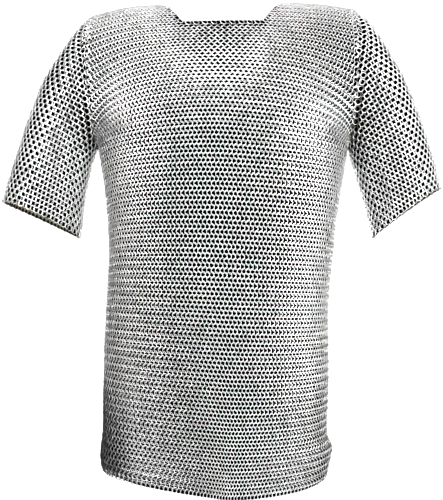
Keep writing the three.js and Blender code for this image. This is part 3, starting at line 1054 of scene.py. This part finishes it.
# The stage: the view's height at the shoulders' plane, 500 pixels of 1.6 mm, and what stands round it.
FRAME_HEIGHT = 500 * 1.6 * MM
CAMERA_X = 0.001
FLOOR_HALF = 20.0
LIT_POINT = (0, 0, -0.35)

# Each light's name, place, size, and share of the main light's power.
LIGHTS = (
    ("key", (0.3, -2.7, 0.3), 1.6, 1),
    ("top", (0.75, -0.9, 1.8), 1.5, 0.22),
    ("behind", (-0.4, 2.7, 0.4), 1.6, 0.6),
)


# Operators


class HAUBERK_OT_panel(bpy.types.Operator):
    """Makes the front or back panel: its dark ground and its rings"""

    bl_idname = "hauberk.panel"
    bl_label = "Add Body Panel"

    face: EnumProperty(
        name="Face", items=[("front", "Front", "The front panel"), ("back", "Back", "The back panel")]
    )

    def execute(self, context):
        settings = context.scene.hauberk_mail
        face = self.face
        seed = settings.seed + (0 if face == "front" else 10)
        steel = finish_named("mail_steel")
        top = LOWER_ROWS + UPPER_ROWS + (1 if face == "front" else 0)
        stretches = {"skirt": (0, WAIST_ROW), "waist": (WAIST_ROW, LOWER_ROWS), "chest": (LOWER_ROWS, top)}
        for k, (name, (first, last)) in enumerate(stretches.items()):
            rings = panel_rings(settings, face, first, last, seed + k)
            linked(settings, f"{face}_rings_{name}", rings, steel)
        ground = panel_ground(settings, face, [finish_named("mail_shadow"), finish_named("mail_inside")])
        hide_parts(face)
        return {"FINISHED"}


class HAUBERK_OT_sleeve(bpy.types.Operator):
    """Makes a sleeve: its dark ground and its rings"""

    bl_idname = "hauberk.sleeve"
    bl_label = "Add Sleeve"

    side: EnumProperty(
        name="Side", items=[("right", "Right", "The wearer's right"), ("left", "Left", "The wearer's left")]
    )

    def execute(self, context):
        settings = context.scene.hauberk_mail
        side = self.side
        seed = settings.seed + (20 if side == "right" else 30)
        rings = sleeve_rings(settings, side, seed)
        piece = linked(settings, f"sleeve_{side}_rings", rings, finish_named("mail_steel"))
        ground = sleeve_ground(settings, side, [finish_named("mail_shadow"), finish_named("mail_inside")])
        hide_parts(f"sleeve_{side}")
        return {"FINISHED"}


class HAUBERK_OT_stage(bpy.types.Operator):
    """Sets the floor, the lights and the camera"""

    bl_idname = "hauberk.stage"
    bl_label = "Add Stage"

    def execute(self, context):
        stage = context.scene.hauberk_stage
        scene = context.scene
        half = FLOOR_HALF
        mesh = bpy.data.meshes.new("floor")
        level = -stage.floor_drop
        corners = [(-half, -half, level), (half, -half, level), (half, half, level), (-half, half, level)]
        mesh.from_pydata(corners, [], [(0, 1, 2, 3)])
        mesh.materials.append(studio_white())
        floor = bpy.data.objects.new("floor", mesh)
        scene.collection.objects.link(floor)

        world = bpy.data.worlds.new("studio")
        world.use_nodes = True
        surround = world.node_tree.nodes["Background"]
        surround.inputs["Color"].default_value = (1, 1, 1, 1)
        seen = world.node_tree.nodes.new("ShaderNodeLightPath")
        strength = world.node_tree.nodes.new("ShaderNodeMapRange")
        strength.inputs["To Min"].default_value = stage.sky
        strength.inputs["To Max"].default_value = stage.backdrop
        world.node_tree.links.new(seen.outputs["Is Camera Ray"], strength.inputs["Value"])
        world.node_tree.links.new(strength.outputs["Result"], surround.inputs["Strength"])
        scene.world = world
        scene.view_settings.view_transform = "Standard"
        scene.view_settings.look = "High Contrast"

        for name, place, size, share in LIGHTS:
            data = bpy.data.lights.new(name, "AREA")
            data.energy = stage.light * share
            data.size = size
            lamp = bpy.data.objects.new(name, data)
            lamp.location = place
            aim = Vector(LIT_POINT) - Vector(place)
            lamp.rotation_euler = aim.to_track_quat("-Z", "Y").to_euler()
            scene.collection.objects.link(lamp)

        data = bpy.data.cameras.new("camera")
        data.sensor_width = 36
        data.lens = data.sensor_width * stage.distance / FRAME_HEIGHT
        data.clip_start, data.clip_end = 0.05, 100
        camera = bpy.data.objects.new("camera", data)
        camera.location = (CAMERA_X, -stage.distance, -stage.eye_drop)
        camera.rotation_euler = (math.pi / 2 + stage.tilt, 0, 0)
        scene.collection.objects.link(camera)
        scene.camera = camera
        return {"FINISHED"}


class HAUBERK_PT_panel(bpy.types.Panel):
    bl_label = "Mail Hauberk"
    bl_idname = "HAUBERK_PT_panel"
    bl_space_type = "VIEW_3D"
    bl_region_type = "UI"
    bl_category = "Mail"

    def draw(self, context):
        layout = self.layout
        for group in ("hauberk_mail", "hauberk_finishes", "hauberk_stage"):
            settings = getattr(context.scene, group)
            box = layout.box()
            for name in settings.__annotations__:
                box.prop(settings, name)
        for face in ("front", "back"):
            layout.operator("hauberk.panel", text=f"Add {face} panel").face = face
        for side in ("right", "left"):
            layout.operator("hauberk.sleeve", text=f"Add {side} sleeve").side = side
        layout.operator("hauberk.stage")


CLASSES = (
    HauberkMail,
    HauberkFinishes,
    HauberkStage,
    HAUBERK_OT_panel,
    HAUBERK_OT_sleeve,
    HAUBERK_OT_stage,
    HAUBERK_PT_panel,
)


def register():
    for cls in CLASSES:
        bpy.utils.register_class(cls)
    bpy.types.Scene.hauberk_mail = PointerProperty(type=HauberkMail)
    bpy.types.Scene.hauberk_finishes = PointerProperty(type=HauberkFinishes)
    bpy.types.Scene.hauberk_stage = PointerProperty(type=HauberkStage)


def unregister():
    del bpy.types.Scene.hauberk_stage
    del bpy.types.Scene.hauberk_finishes
    del bpy.types.Scene.hauberk_mail
    for cls in reversed(CLASSES):
        bpy.utils.unregister_class(cls)


def main():
    register()
    for face in ("front", "back"):
        bpy.ops.hauberk.panel(face=face)
    for side in ("right", "left"):
        bpy.ops.hauberk.sleeve(side=side)
    bpy.ops.hauberk.stage()


if __name__ == "__main__":
    main()
